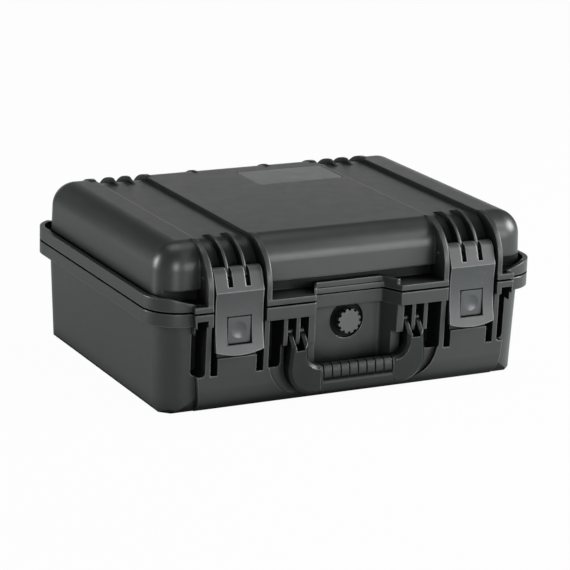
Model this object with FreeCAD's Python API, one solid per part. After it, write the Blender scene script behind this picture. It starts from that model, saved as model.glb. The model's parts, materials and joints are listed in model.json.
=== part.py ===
import FreeCAD, Part
import math
import os

# Protective hard case in millimetres: X to the right, front towards -Y, Z up.
# The origin is the middle of the underside.

# Space inside and walls
interior_width = 381.0
interior_depth = 267.0
interior_corner = 22.0
floor_round = 9.0
wall = 4.0
floor_thickness = 5.0
parting_height = 103.0
parting_gap = 2.0
lid_height = 60.0

# Base shell
base_draft = 1.8
base_corner = 31.0
foot_round_front = 20.0
foot_round_block = 28.0
foot_round_side = 5.0
foot_round_corner = 9.0
foot_corner_margin = 0.3
rib_zone = 18.0
side_flange = 11.0
front_flange = 3.25
flange_corner = 35.0
base_band = 12.5
pocket_bottom = 40.5
pocket_corner = 4.0
front_block_half = 170.0
front_block_foot = 160.5
front_block = 8.0

# Vent well in the middle of the front
well_rib = 5.0
well_slant = 11.0
well_depth = 21.75
well_bottom = 22.0
well_wall_step = 3.0
well_round = 4.0

# Latch stations, measured from the middle plane
latch_spacing = 248.6
latch_width = 48.8
bay_gap = 2.9
flank_rib = 5.0
outer_slot = 11.5
outer_slot_lip = 6.0
bay_setback = 19.25
keeper_half = 20.0
keeper_drop = 26.0
keeper_wall = 12.0
keeper_cell_depth = 18.5
tail_room = 4.6
tail_recess = 3.0

# Lid shell
lid_lip = 5.2
lid_rim = 12.0
lid_rim_wall = 5.0
rim_slope_inset = 17.5
rim_slope_run = 26.0
lid_side_step = 2.0
lid_front_step = 10.0
lid_rear_step = 4.0
lid_draft = 1.5
lid_round = 24.0
lid_inner_round = 20.0
lid_top_wall = 4.0
channel_depth = 3.5
channel_front_radius = 30.0
channel_front_inset = 16.75
undercut_height = 11.8
undercut_depth = 9.5
well_lip = 10.5
rib_radius = 42.0
rib_foot_rise = 18.0
rib_inset = 0.75
outer_rib = 5.0
inner_rib = 3.0
inner_rib_offset = 9.0
inner_rib_setback = 8.0
inner_rib_trim = 11.25
inner_rib_trim_rise = 13.5
rear_rib_offset = 41.0

# Seal between lid and base
groove_offset = 3.0
groove_width = 5.0
groove_depth = 2.8
seal_clearance = 0.3

# Padlock holes through both flanges
padlock_radius = 3.6
padlock_inset = 7.4

# Hinge
hinge_outset = 1.25
knuckle_radius = 6.0
lid_knuckle_half = 14.5
base_knuckle_length = 11.5
knuckle_gap = 0.5
hinge_pin_radius = 2.4
pin_clearance = 0.05

# Latch lever
latch_pin_rise = 29.0
latch_pin_inset = 15.25
latch_pin_radius = 2.0
pin_notch_clearance = 0.3
finger_radius = 8.5
slot_width = 5.0
slot_drop = 8.2
slot_back_drop = 16.0
slot_back_clearance = 1.2
crease_drop = 12.5
crease_out = 14.0
lever_mid_drop = 39.0
lever_mid_out = 12.65
lever_bottom_drop = 73.0
lever_bottom_out = 17.65
lever_thickness = 5.0
lever_bottom_sag = 4.0
lever_bottom_trim = 0.5
hook_root_height = 9.2
hook_tip_height = 2.1
hook_embed = 2.5
hook_inner = 14.5
hook_outer = 23.0
hook_clearance = 0.4

# Push button and catch spring
button_width = 23.5
button_height = 25.3
button_drop = 49.4
button_gap = 0.6
button_corner = 1.6
button_proud = 0.2
button_wall = 1.7
button_face_thickness = 3.4
button_lip = 1.4
button_lip_thickness = 1.6
button_lip_clearance = 0.3
dimple_radius = 26.0
dimple_depth = 1.2
spring_thickness = 0.6
spring_width = 9.0
spring_anchor_rise = 19.6
spring_pad = 6.0
spring_bend = 4.0
spring_clearance = 0.4
spring_hang = 2.0
catch_clearance = 0.5
catch_reach = 3.4

# Handle
handle_latch_step = 62.3
handle_pin_drop = 16.5
handle_pin_inset = 13.75
handle_pin_radius = 2.0
handle_rib = 4.0
fork_pocket_half = 11.0
fork_rib = 4.0
prong_width = 4.5
prong_gap = 8.4
prong_radius = 5.5
handle_outer_step = 11.0
handle_bottom = 13.5
handle_bar = 26.5
handle_front = 3.25
handle_thickness = 12.6
fork_drop = 15.5
handle_outer_radius = 25.0
handle_inner_radius = 13.0
handle_edge = 3.0
handle_recess_step = 28.5
handle_recess_bottom = 11.0
handle_recess_drop = 11.0
handle_recess_corner = 36.0
handle_recess_gap = 1.0
grip_step = 22.0
grip_wall = 2.4
grip_grooves = 9
grip_groove_width = 1.4
grip_groove_depth = 1.0
grip_plain_rise = 13.5
grip_clearance = 0.05

# Pressure vent
vent_drop = 15.5
vent_recess_radius = 18.0
vent_recess_depth = 3.0
vent_cap_radius = 12.0
vent_cap_thickness = 5.0
vent_teeth = 12
vent_notch_width = 3.0
vent_notch_depth = 1.7
vent_body_radius = 10.0
vent_body_height = 4.5
vent_stem_radius = 6.0
vent_stem_reach = 1.0
vent_nut_radius = 9.5
vent_nut_thickness = 4.0
vent_clearance = 0.1
vent_nut_clearance = 0.35

# Bare plate on the lid
plate_width = 96.0
plate_depth = 56.0
plate_thickness = 0.9
plate_corner = 4.0
plate_centre_x = 45.0
plate_centre_y = 72.0

V = FreeCAD.Vector
AXIS_X = V(1, 0, 0)
AXIS_Y = V(0, 1, 0)
AXIS_Z = V(0, 0, 1)
ARC_MIDDLE = 1 - math.sqrt(0.5)
SAME = 1e-6

# Planes and edges that several pieces share
inner_x = interior_width / 2
inner_y = interior_depth / 2
tub_x = inner_x + wall
tub_y = inner_y + wall
face_y = tub_y + rib_zone
flange_x = tub_x + side_flange
flange_y = face_y + front_flange
front_face = face_y + front_block
front_y = flange_y + front_block
base_top = parting_height - parting_gap / 2
lid_bottom = parting_height + parting_gap / 2
lid_shelf = lid_bottom + lid_lip
rim_top = lid_bottom + lid_rim
band_bottom = base_top - base_band
overall_height = parting_height + lid_height
lid_x = tub_x + lid_side_step
lid_front = -(tub_y + lid_front_step)
lid_rear = tub_y + lid_rear_step
channel_floor = overall_height - channel_depth
channel_front = flange_y - channel_front_inset
cavity_top = channel_floor - lid_top_wall
undercut_top = lid_shelf + undercut_height
rib_foot = lid_bottom + rib_foot_rise
outer_rib_edge = front_y - rib_inset
inner_rib_edge = outer_rib_edge - inner_rib_setback
inner_rib_trim_top = lid_bottom + inner_rib_trim_rise
rim_slope_outer = flange_x - rim_slope_inset
rim_slope_inner = rim_slope_outer - rim_slope_run
latch_x = latch_spacing / 2
bay_half = latch_width / 2 + bay_gap
handle_station = latch_x - handle_latch_step
handle_outer = handle_station + handle_outer_step
handle_recess_half = handle_station + handle_recess_step
grip_half = handle_station - grip_step
well_half_front = handle_station - fork_pocket_half - well_rib
well_half_back = well_half_front - well_slant
bay_front = front_y - bay_setback
keeper_back = -(front_face - keeper_wall)
keeper_top = band_bottom - keeper_drop
keeper_cell_bottom = keeper_top - keeper_cell_depth
well_back = front_y - well_depth
well_wall = well_back - well_wall_step
hinge_y = flange_y + hinge_outset
knuckle_room = knuckle_radius + knuckle_gap
latch_pin_y = -(front_y - latch_pin_inset)
latch_pin_height = lid_bottom + latch_pin_rise
slot_bottom = latch_pin_height - slot_drop
slot_back_bottom = latch_pin_height - slot_back_drop
crease_height = latch_pin_height - crease_drop
lever_mid_height = latch_pin_height - lever_mid_drop
lever_bottom = latch_pin_height - lever_bottom_drop
handle_pin_y = -(front_y - handle_pin_inset)
handle_pin_height = band_bottom - handle_pin_drop
fork_bottom = handle_pin_height - fork_drop
handle_grip_top = handle_bottom + handle_bar
handle_face = -(front_y + handle_front)
handle_back = handle_face + handle_thickness
crease_y = latch_pin_y - crease_out
lever_mid_y = latch_pin_y - lever_mid_out
lever_bottom_y = latch_pin_y - lever_bottom_out
lever_mid_back = lever_mid_y + lever_thickness
button_face = lever_mid_y - button_proud
handle_recess_top = handle_pin_height - handle_recess_drop
button_centre = latch_pin_height - button_drop
spring_anchor = button_centre + spring_anchor_rise
button_lip_front = lever_mid_back + button_lip_clearance
button_back = button_lip_front + button_lip_thickness
padlock_x = latch_x + bay_half + flank_rib + outer_slot / 2
padlock_y = -(front_y - padlock_inset)
outer_slot_top = base_top - outer_slot_lip
vent_floor = -(well_wall - vent_recess_depth)
vent_height = band_bottom - vent_drop
vent_body_face = vent_floor - vent_body_height
vent_cap_back = vent_body_face - vent_clearance
vent_cap_front = vent_cap_back - vent_cap_thickness
sides = {"left": -1, "right": 1}
far = 2 * flange_y


def box(x0, x1, y0, y1, z0, z1):
    """Block between two corners."""
    return Part.makeBox(x1 - x0, y1 - y0, z1 - z0, V(x0, y0, z0))


def rod(start, axis, radius, length):
    """Round bar from a start point along an axis."""
    return Part.makeCylinder(radius, length, start, axis)


def profile_wire(points, place):
    """Closed outline through 2-D points, where a pair of points stands for an arc's middle and end."""
    edges = []
    last = place(points[0])
    for item in points[1:] + [points[0]]:
        if isinstance(item[0], tuple):
            end = place(item[1])
            edges.append(Part.Arc(last, place(item[0]), end).toShape())
        else:
            end = place(item)
            if end.distanceToPoint(last) > SAME:
                edges.append(Part.LineSegment(last, end).toShape())
        last = end
    return Part.Wire(edges)


def along_x(points, x0, x1):
    """Solid of a (y, z) outline carried from x0 to x1."""
    wire = profile_wire(points, lambda p: V(x0, p[0], p[1]))
    return Part.Face(wire).extrude(V(x1 - x0, 0, 0))


def along_y(points, y0, y1):
    """Solid of an (x, z) outline carried from y0 to y1."""
    wire = profile_wire(points, lambda p: V(p[0], y0, p[1]))
    return Part.Face(wire).extrude(V(0, y1 - y0, 0))


def along_z(points, z0, z1):
    """Solid of an (x, y) outline carried from z0 to z1."""
    wire = profile_wire(points, lambda p: V(p[0], p[1], z0))
    return Part.Face(wire).extrude(V(0, 0, z1 - z0))


def rounded_rectangle(u0, u1, v0, v1, radius):
    """Outline of a rectangle with four round corners."""
    cut = radius * ARC_MIDDLE
    return [(u0 + radius, v0), (u1 - radius, v0), ((u1 - cut, v0 + cut), (u1, v0 + radius)),
            (u1, v1 - radius), ((u1 - cut, v1 - cut), (u1 - radius, v1)),
            (u0 + radius, v1), ((u0 + cut, v1 - cut), (u0, v1 - radius)),
            (u0, v0 + radius), ((u0 + cut, v0 + cut), (u0 + radius, v0))]


def plate(half_x, half_y, radius, z0, z1):
    """Upright rounded plate, centred on the Z axis."""
    return along_z(rounded_rectangle(-half_x, half_x, -half_y, half_y, radius), z0, z1)


def drafted_block(x0, x1, y0, y1, z_open, z_closed, draft):
    """Block with the given outline at z_open, drawn in by its draft towards z_closed."""
    inset = abs(z_closed - z_open) * math.tan(math.radians(draft))
    across = along_x([(y0, z_open), (y1, z_open), (y1 - inset, z_closed), (y0 + inset, z_closed)], x0, x1)
    along = along_y([(x0, z_open), (x1, z_open), (x1 - inset, z_closed), (x0 + inset, z_closed)], y0, y1)
    return across.common(along)


def level_edges(shape, z):
    """Edges that lie in the horizontal plane at z."""
    return [e for e in shape.Edges if all(abs(v.Z - z) < SAME for v in e.Vertexes)]


def upright_edges(shape):
    """Edges that join two heights."""
    return [e for e in shape.Edges if abs(e.Vertexes[0].Z - e.Vertexes[-1].Z) > SAME]


def moulded_block(x0, x1, y0, y1, z_open, z_closed, draft, radius):
    """Drafted block with its uprights and its closed end rounded alike."""
    block = drafted_block(x0, x1, y0, y1, z_open, z_closed, draft)
    return block.makeFillet(radius, upright_edges(block) + level_edges(block, z_closed))


def rounded_section(half, z_open, radius, draft):
    """Outline, half wide at z_open, drafted down to zero height, where its two edges are rounded."""
    lean = math.radians(draft)
    turn = (lean + math.pi / 2) / 2
    centre = half - z_open * math.tan(lean) - radius * (1 - math.sin(lean)) / math.cos(lean)
    side_u = centre + radius * math.cos(lean)
    side_z = radius * (1 - math.sin(lean))
    middle_u = centre + radius * math.cos(turn)
    middle_z = radius * (1 - math.sin(turn))
    return [(-half, z_open), (-side_u, side_z), ((-middle_u, middle_z), (-centre, 0)), (centre, 0),
            ((middle_u, middle_z), (side_u, side_z)), (half, z_open)]


def tub(half_x, half_y, height, corner, draft, front_round, side_round):
    """Drafted block that narrows downwards, with round uprights and its lower edges rounded over."""
    block = drafted_block(-half_x, half_x, -half_y, half_y, height, 0, draft)
    block = block.makeFillet(corner, upright_edges(block))
    block = block.common(along_x(rounded_section(half_y, height, front_round, draft), -far, far))
    return block.common(along_y(rounded_section(half_x, height, side_round, draft), -far, far))


def fuse(shapes):
    """One solid from touching shapes."""
    return shapes[0].multiFuse(shapes[1:]).removeSplitter()


def pocket(x0, x1, y0, y1, z0, z1):
    """Cutter open at its front, with its two lower corners rounded."""
    r = min(pocket_corner, (x1 - x0) / 2 - SAME)
    cut = r * ARC_MIDDLE
    outline = [(x0, z1), (x0, z0 + r), ((x0 + cut, z0 + cut), (x0 + r, z0)),
               (x1 - r, z0), ((x1 - cut, z0 + cut), (x1, z0 + r)), (x1, z1)]
    return along_y(outline, y0, y1)


def both_sides(x0, x1):
    """The same stretch of X on the right and on the left."""
    return [(x0, x1), (-x1, -x0)]


def bays():
    """Stretches of X that the two latches take up with their side gaps."""
    return both_sides(latch_x - bay_half, latch_x + bay_half)


def well_cutter(back, z0, z1):
    """Cutter of the vent well: slanting side walls down to a flat back."""
    slant = (well_half_front - well_half_back) / well_depth
    spread = well_half_front + slant * (far - front_y)
    outline = [(-spread, -far), (-well_half_front, -front_y), (-well_half_back, -back),
               (well_half_back, -back), (well_half_front, -front_y), (spread, -far)]
    block = along_z(outline, z0, z1)
    corners = [e for e in upright_edges(block) if abs(e.Vertexes[0].Y + back) < SAME]
    return block.makeFillet(well_round, corners)


def base_front_cutters():
    """Pockets between the ribs of the front, and the latch bays with their keepers."""
    back = -tub_y
    fork0 = handle_station - fork_pocket_half
    fork1 = handle_station + fork_pocket_half
    bay0 = latch_x - bay_half
    bay1 = latch_x + bay_half
    slot0 = bay1 + flank_rib
    shown = [(fork0, handle_station - fork_rib / 2, band_bottom),
             (handle_station + fork_rib / 2, fork1, band_bottom),
             (fork1 + handle_rib, bay0 - flank_rib, band_bottom),
             (slot0, slot0 + outer_slot, outer_slot_top)]
    behind_latch = [(bay0, latch_x - keeper_half), (latch_x + keeper_half, bay1)]
    cutters = []
    for start, end, top in shown:
        for x0, x1 in both_sides(start, end):
            cutters.append(pocket(x0, x1, -far, back, pocket_bottom, top))
    for start, end in behind_latch:
        for x0, x1 in both_sides(start, end):
            cutters.append(box(x0, x1, -far, back, pocket_bottom, band_bottom))
    for x0, x1 in bays():
        cutters.append(box(x0, x1, -far, back, keeper_top, band_bottom))
        cutters.append(box(x0, x1, -far, -bay_front, band_bottom, far))
        cutters.append(box(x0, x1, -far, lever_bottom_y + lever_thickness + tail_room,
                           lever_bottom - tail_recess, keeper_top))
    for x0, x1 in both_sides(latch_x - keeper_half, latch_x + keeper_half):
        cutters.append(box(x0, x1, keeper_back, back, keeper_cell_bottom, keeper_top))
    return cutters


def handle_recess():
    """Cutter of the hollow in the front that the folded handle lies in, round at its lower corners."""
    wide = handle_recess_half
    r = handle_recess_corner
    cut = r * ARC_MIDDLE
    low = handle_recess_bottom
    outline = [(-wide, handle_recess_top), (-wide, low + r), ((-wide + cut, low + cut), (-wide + r, low)),
               (wide - r, low), ((wide - cut, low + cut), (wide, low + r)), (wide, handle_recess_top)]
    return along_y(outline, -far, handle_back + handle_recess_gap)


def base_rear_cutters():
    """Pockets between the ribs under the hinges, and room for the lid's hinge eyes."""
    half = inner_rib / 2
    edges = [-bay_half, -inner_rib_offset - half, -inner_rib_offset + half,
             inner_rib_offset - half, inner_rib_offset + half, bay_half]
    cutters = []
    for start, end in zip(edges[0::2], edges[1::2]):
        for x0, x1 in both_sides(latch_x + start, latch_x + end):
            cutters.append(box(x0, x1, tub_y, far, pocket_bottom, band_bottom))
    for x0, x1 in lid_knuckle_spans():
        cutters.append(box(x0 - knuckle_gap, x1 + knuckle_gap, hinge_y - knuckle_room, far,
                           parting_height - knuckle_room, far))
    return cutters


def base_knuckle_spans():
    """Stretches of X that the base's hinge eyes take up."""
    inner = lid_knuckle_half + knuckle_gap
    outer = inner + base_knuckle_length
    return both_sides(latch_x - outer, latch_x - inner) + both_sides(latch_x + inner, latch_x + outer)


def lid_knuckle_spans():
    """Stretches of X that the lid's hinge eyes take up."""
    return both_sides(latch_x - lid_knuckle_half, latch_x + lid_knuckle_half)


def hinge_knuckles(spans, foot):
    """Round hinge eyes over stretches of X, each with a web from its foot height back to the flange."""
    eyes = []
    for x0, x1 in spans:
        eye = rod(V(x0, hinge_y, parting_height), AXIS_X, knuckle_radius, x1 - x0)
        web = box(x0, x1, flange_y - 2 * knuckle_radius, hinge_y, foot, foot + knuckle_radius)
        eyes.append(eye.fuse(web))
    return eyes


def hinge_pin_span(side):
    """Ends of a hinge pin: flush with the outer faces of the base's eyes."""
    reach = lid_knuckle_half + knuckle_gap + base_knuckle_length
    return side * latch_x - reach, side * latch_x + reach


def latch_pin_span(side):
    """Ends of a latch pin: flush with the outer faces of the lid's outer ribs."""
    reach = bay_half + outer_rib
    return side * latch_x - reach, side * latch_x + reach


def handle_pin_span(side):
    """Ends of a handle pin: flush with the outer faces of a fork's two prongs."""
    reach = prong_gap / 2 + prong_width
    return side * handle_station - reach, side * handle_station + reach


def pin_rod(span, y, z, radius):
    """Pin along X, or with its clearance added to the radius the bore that it runs in."""
    return rod(V(span[0], y, z), AXIS_X, radius, span[1] - span[0])


def seal_ring(inner_gap, outer_gap, z0, z1):
    """Ring round the interior, between two distances from its wall."""
    outer = plate(inner_x + outer_gap, inner_y + outer_gap, interior_corner + outer_gap, z0, z1)
    inner = plate(inner_x + inner_gap, inner_y + inner_gap, interior_corner + inner_gap, z0, z1)
    return outer.cut(inner)


def foot_corner_prism():
    """Diagonal bar that rounds the underside over two opposite corners of the base."""
    half = (tub_x + face_y - 2 * base_corner) * math.sqrt(0.5) + base_corner + foot_corner_margin
    lean = math.degrees(math.atan(math.tan(math.radians(base_draft)) * math.sqrt(2)))
    return along_x(rounded_section(half, base_top, foot_round_corner, lean), -far, far)


def front_half(shape):
    """Front of a shape between the corners, moved forwards to stand proud of them; it narrows downwards."""
    wide = front_block_half
    foot = front_block_foot
    outline = [(-foot, 0), (foot, 0), (wide, base_top), (wide, far), (-wide, far), (-wide, base_top)]
    block = shape.common(along_y(outline, -far, -tub_y))
    block.translate(V(0, -front_block, 0))
    return block


def drafted_body(front_round):
    """Drafted outside of the tub: round uprights, and a round foot in front, at the sides and corners."""
    body = tub(tub_x, face_y, base_top, base_corner, base_draft, front_round, foot_round_side)
    for turn in (-45, 45):
        prism = foot_corner_prism()
        prism.rotate(V(0, 0, 0), AXIS_Z, turn)
        body = body.common(prism)
    return body


def base_body():
    """Outside of the tub with the proud block of its front."""
    return fuse([drafted_body(foot_round_front), front_half(drafted_body(foot_round_block))])


def base_cavity():
    """Space inside the base."""
    cavity = tub(inner_x, inner_y, base_top - floor_thickness, interior_corner, base_draft, floor_round,
                 floor_round)
    cavity.translate(V(0, 0, floor_thickness))
    return cavity


def lid_cavity():
    """Space inside the lid, which narrows upwards."""
    cavity = tub(inner_x, inner_y, cavity_top - lid_bottom, interior_corner, lid_draft, lid_inner_round,
                 lid_inner_round)
    cavity.rotate(V(0, 0, 0), AXIS_X, 180)
    cavity.translate(V(0, 0, cavity_top))
    return cavity


def base_shell():
    """Tub with its flange, ribbed front and hinge eyes."""
    flange = plate(flange_x, flange_y, flange_corner, band_bottom, base_top)
    flange = fuse([flange, front_half(flange)])
    cutters = base_front_cutters() + base_rear_cutters()
    cutters.append(well_cutter(well_back, band_bottom, far))
    cutters.append(well_cutter(well_wall, well_bottom, band_bottom))
    cutters.append(handle_recess())
    shell = fuse([base_body(), flange]).cut(cutters)
    shell = fuse([shell] + hinge_knuckles(base_knuckle_spans(), parting_height - knuckle_radius))
    holes = [base_cavity()]
    for side in sides.values():
        holes.append(pin_rod(hinge_pin_span(side), hinge_y, parting_height, hinge_pin_radius + pin_clearance))
        holes.append(pin_rod(handle_pin_span(side), handle_pin_y, handle_pin_height,
                             handle_pin_radius + pin_clearance))
        start = V(side * padlock_x, padlock_y, outer_slot_top - padlock_radius)
        holes.append(rod(start, AXIS_Z, padlock_radius, outer_slot_lip + 2 * padlock_radius))
    vent = V(0, -far, vent_height)
    recess = rod(vent, AXIS_Y, vent_recess_radius, far + vent_floor)
    holes.append(recess.common(box(-far, far, -far, 0, 0, band_bottom)))
    holes.append(rod(vent, AXIS_Y, vent_stem_radius + vent_clearance, far))
    return shell.cut(holes)


def channel_end(y_sign):
    """Curve of a channel from its level stretch down behind the latch or the hinge."""
    front = y_sign * channel_front
    centre = front - y_sign * channel_front_radius
    low = channel_floor - channel_front_radius
    bend = channel_front_radius * math.sqrt(0.5)
    return (front, low), (centre + y_sign * bend, low + bend), (centre, channel_floor)


def channel_cutter(x0, x1):
    """Cutter of the channel over the lid that joins a latch and a hinge."""
    front_low, front_middle, front_high = channel_end(-1)
    rear_low, rear_middle, rear_high = channel_end(1)
    outline = [(-far, lid_shelf), (-channel_front, lid_shelf), front_low, (front_middle, front_high),
               rear_high, (rear_middle, rear_low), (channel_front, lid_shelf), (far, lid_shelf),
               (far, far), (-far, far)]
    return along_x(outline, x0, x1)


def lid_rib(x0, x1, y_sign, edge):
    """Curved rib from the flange lip over the edge of the lid, at its front or its rear."""
    centre = edge - rib_radius
    bend = rib_radius * math.sqrt(0.5)
    root = channel_front - wall / 2
    outline = [(y_sign * edge, lid_bottom), (y_sign * edge, rib_foot),
               ((y_sign * (centre + bend), rib_foot + bend), (y_sign * centre, rib_foot + rib_radius)),
               (y_sign * (centre - rib_radius / 2), channel_floor - wall / 2),
               (y_sign * centre, channel_floor - wall), (y_sign * root, rib_foot),
               (y_sign * root, lid_bottom)]
    return along_x(outline, x0, x1)


def lid_ribs():
    """Ribs of the latch and hinge stations, and the two short ones between the hinges."""
    half = inner_rib / 2
    outer = []
    inner = []
    for flank in (-1, 1):
        start, end = sorted((latch_x + flank * bay_half, latch_x + flank * (bay_half + outer_rib)))
        middle = latch_x + flank * inner_rib_offset
        outer += both_sides(start, end)
        inner += both_sides(middle - half, middle + half)
    short = both_sides(rear_rib_offset - half, rear_rib_offset + half)
    ribs = [lid_rib(x0, x1, -1, outer_rib_edge) for x0, x1 in outer]
    ribs += [lid_rib(x0, x1, -1, inner_rib_edge) for x0, x1 in inner]
    return ribs + [lid_rib(x0, x1, 1, flange_y - rib_inset) for x0, x1 in outer + inner + short]


def lid_flange():
    """Flat lip of the lid with a raised rim round its sides that slopes away in front and behind."""
    floor = plate(flange_x, flange_y, flange_corner, lid_bottom, lid_shelf)
    floor = fuse([floor, front_half(floor)])
    rim = plate(flange_x, flange_y, flange_corner, lid_shelf, rim_top)
    rim = rim.cut(plate(flange_x - lid_rim_wall, flange_y - lid_rim_wall, flange_corner - lid_rim_wall,
                        lid_shelf, rim_top))
    slope = [(-rim_slope_outer, rim_top), (-rim_slope_inner, lid_shelf), (rim_slope_inner, lid_shelf),
             (rim_slope_outer, rim_top), (rim_slope_outer, far), (-rim_slope_outer, far)]
    rim = rim.cut(along_y(slope, -far, far))
    cutters = [well_cutter(well_back, lid_bottom, far)]
    for x0, x1 in bays():
        cutters.append(box(x0, x1, -far, -bay_front, lid_bottom, far))
    for x0, x1 in base_knuckle_spans():
        cutters.append(box(x0 - knuckle_gap, x1 + knuckle_gap, hinge_y - knuckle_room, far, 0,
                           parting_height + knuckle_room))
    return fuse([floor, rim]).cut(cutters)


def well_lip_wall():
    """Upstand of the lid's lip along the back and slanting sides of the vent well."""
    top = lid_bottom + well_lip
    outer = well_cutter(well_back, lid_bottom, top)
    inner = outer.copy()
    inner.translate(V(0, lid_rim_wall, 0))
    return inner.cut(outer).common(box(-far, far, -front_y + lid_rim_wall, far, lid_bottom, top))


def lid_dome():
    """Moulded dome with the two channels and the undercut above the front lip."""
    dome = moulded_block(-lid_x, lid_x, lid_front, lid_rear, lid_bottom, overall_height, lid_draft,
                         lid_round)
    cutters = [channel_cutter(x0, x1) for x0, x1 in bays()]
    cutters.append(box(-far, far, -far, lid_front + undercut_depth, lid_shelf, undercut_top))
    return dome.cut(cutters)


def lid_shell():
    """Domed lid with its raised panel, channels, ribs, lip and hinge eyes."""
    knuckles = hinge_knuckles(lid_knuckle_spans(), parting_height)
    shell = fuse([lid_dome(), lid_flange(), well_lip_wall()] + lid_ribs() + knuckles)
    holes = [lid_cavity()]
    groove_outer = groove_offset + groove_width
    holes.append(seal_ring(groove_offset, groove_outer, lid_bottom, lid_bottom + groove_depth))
    notch = latch_pin_radius + pin_notch_clearance
    for x0, x1 in bays():
        holes.append(box(x0, x1, -far, latch_pin_y + notch, latch_pin_height - notch,
                         latch_pin_height + notch))
        holes.append(box(x0, x1, -far, -(front_y - inner_rib_trim), lid_bottom, inner_rib_trim_top))
    for side in sides.values():
        holes.append(pin_rod(hinge_pin_span(side), hinge_y, parting_height, hinge_pin_radius + pin_clearance))
        holes.append(pin_rod(latch_pin_span(side), latch_pin_y, latch_pin_height,
                             latch_pin_radius + pin_clearance))
        holes.append(rod(V(side * padlock_x, padlock_y, lid_bottom), AXIS_Z, padlock_radius, lid_rim))
    holes.append(plate_block(0))
    return shell.cut(holes)


def plate_block(shrink):
    """Bare plate that lies flush in the lid, drawn in by shrink all round."""
    half_x = plate_width / 2 - shrink
    half_y = plate_depth / 2 - shrink
    block = plate(half_x, half_y, plate_corner - shrink, overall_height - plate_thickness, overall_height)
    block.translate(V(plate_centre_x, plate_centre_y, 0))
    return block


def lid_gasket():
    """Seal that fills the groove of the lid and reaches down to the rim of the base."""
    return seal_ring(groove_offset + seal_clearance, groove_offset + groove_width - seal_clearance,
                     base_top + seal_clearance, lid_bottom + groove_depth)


def finger_point(turn):
    """Point of the round of the latch's fingers, at an angle about the pin."""
    return latch_pin_y + finger_radius * math.cos(turn), latch_pin_height + finger_radius * math.sin(turn)


def lever_blade(x0, x1):
    """Bowed blade of the latch: its front leaves the round of the fingers on a tangent."""
    drop = latch_pin_height - crease_height
    out = latch_pin_y - crease_y
    under = -math.pi / 2
    touch = math.pi + math.atan2(drop, out) - math.acos(finger_radius / math.hypot(drop, out))
    outline = [finger_point(touch), (crease_y, crease_height),
               ((lever_mid_y, lever_mid_height), (lever_bottom_y, lever_bottom)),
               (lever_bottom_y + lever_thickness, lever_bottom),
               ((lever_mid_back, lever_mid_height), (crease_y + lever_thickness, crease_height)),
               finger_point(under), (finger_point((under + touch) / 2), finger_point(touch))]
    return along_x(outline, x0, x1)


def lever_hook(x0, x1):
    """Hook on the back of the latch that reaches under the band of the base."""
    top = band_bottom - hook_clearance
    tip = -(bay_front + hook_clearance)
    root = lever_mid_back - hook_embed
    outline = [(root, top - hook_root_height), (root, top), (tip, top), (tip, top - hook_tip_height),
               (lever_mid_back, top - hook_root_height)]
    return along_x(outline, x0, x1)


def latch_lever(middle):
    """Latch with three fingers round its pin, a window for the button and two hooks."""
    x0 = middle - latch_width / 2
    x1 = middle + latch_width / 2
    hooks = [lever_hook(middle + hook_inner, middle + hook_outer),
             lever_hook(middle - hook_outer, middle - hook_inner)]
    lever = fuse([lever_blade(x0, x1)] + hooks)
    cutters = [pin_rod((x0, x1), latch_pin_y, latch_pin_height, latch_pin_radius + pin_clearance)]
    slot_back = -(inner_rib_edge + slot_back_clearance)
    for flank in (-1, 1):
        centre = middle + flank * inner_rib_offset
        slot0 = centre - slot_width / 2
        slot1 = centre + slot_width / 2
        cutters.append(box(slot0, slot1, -far, 0, slot_bottom, far))
        cutters.append(box(slot0, slot1, slot_back, 0, slot_back_bottom, far))
    cutters.append(button_block(middle, button_gap, button_corner + button_gap, -far, 0))
    low = lever_bottom + lever_bottom_trim
    side_low = low + lever_bottom_sag
    below = [(x0, side_low), ((middle, low), (x1, side_low)), (x1, 0), (x0, 0)]
    cutters.append(along_y(below, -far, 0))
    return lever.cut(cutters)


def button_block(middle, grow, corner, y0, y1):
    """Bar of the button's outline, grown by a gap, with round corners."""
    half_x = button_width / 2 + grow
    half_z = button_height / 2 + grow
    outline = rounded_rectangle(middle - half_x, middle + half_x, button_centre - half_z,
                                button_centre + half_z, corner)
    return along_y(outline, y0, y1)


def latch_button(middle):
    """Button with a shallow round dimple, hollow behind, and a lip that keeps it in its window."""
    body = button_block(middle, 0, button_corner, button_face, button_back)
    lip_x = button_width / 2 + button_gap + button_lip
    lip_z = button_height / 2 + button_gap + button_lip
    lip = box(middle - lip_x, middle + lip_x, button_lip_front, button_back,
              button_centre - lip_z, button_centre + lip_z)
    dimple_centre = V(middle, button_face - dimple_radius + dimple_depth, button_centre)
    dimple = Part.makeSphere(dimple_radius, dimple_centre)
    hollow_x = button_width / 2 - button_wall
    hollow_z = button_height / 2 - button_wall
    hollow = box(middle - hollow_x, middle + hollow_x, button_face + button_face_thickness, button_back,
                 button_centre - hollow_z, button_centre + hollow_z)
    return fuse([body, lip]).cut([dimple, hollow])


def catch_spring(middle):
    """Leaf spring from the lever down behind the button, hooked over the keeper's edge."""
    t = spring_thickness
    pad_y = lever_mid_back + spring_clearance
    leaf_y = button_back + spring_clearance
    hook_y = keeper_back + catch_clearance
    low = button_centre - button_height / 2 - button_gap - button_lip - spring_hang
    bend = low - spring_hang
    tip = keeper_top - catch_reach
    top = spring_anchor + spring_pad
    knee = spring_anchor - spring_bend
    outline = [(pad_y, top), (pad_y, spring_anchor), (leaf_y, knee), (leaf_y, low), (hook_y, bend),
               (hook_y, tip), (hook_y + t, tip), (hook_y + t, bend + t), (leaf_y + t, low + t),
               (leaf_y + t, knee), (pad_y + t, spring_anchor), (pad_y + t, top)]
    return along_x(outline, middle - spring_width / 2, middle + spring_width / 2)


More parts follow.
